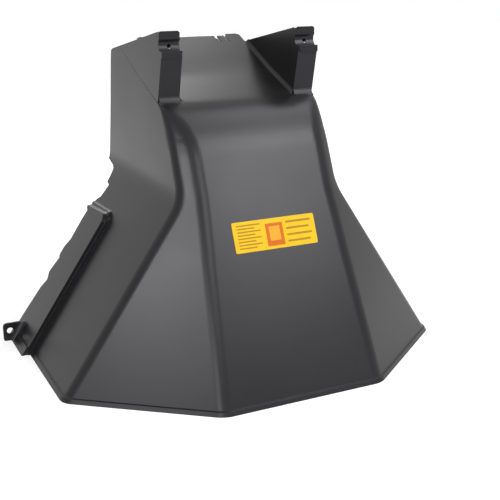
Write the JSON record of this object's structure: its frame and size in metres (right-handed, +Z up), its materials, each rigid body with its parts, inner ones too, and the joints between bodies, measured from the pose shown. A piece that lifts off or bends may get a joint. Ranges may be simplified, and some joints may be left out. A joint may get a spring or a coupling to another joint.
{
  "type": "mower deck deflector",
  "caption": "One-piece moulded plastic hood with flared skirt, sloping front panel, tube lugs at the top, stepped side bands, ears and a front label.",
  "frame": {"origin": "middle of the hood's footprint, on the surface that its rim stands on", "axes": "+X to the right across the hood, +Y from the front panel towards the open back, +Z up"},
  "size_m": [0.6748, 0.4536, 0.4947],
  "materials": {
    "hood_plastic": "satin moulded",
    "label_film": "printed film"
  },
  "bodies": {
    "root": {"deflector_hood": "hood_plastic", "label_sticker": "label_film"}
  },
  "joints": []
}
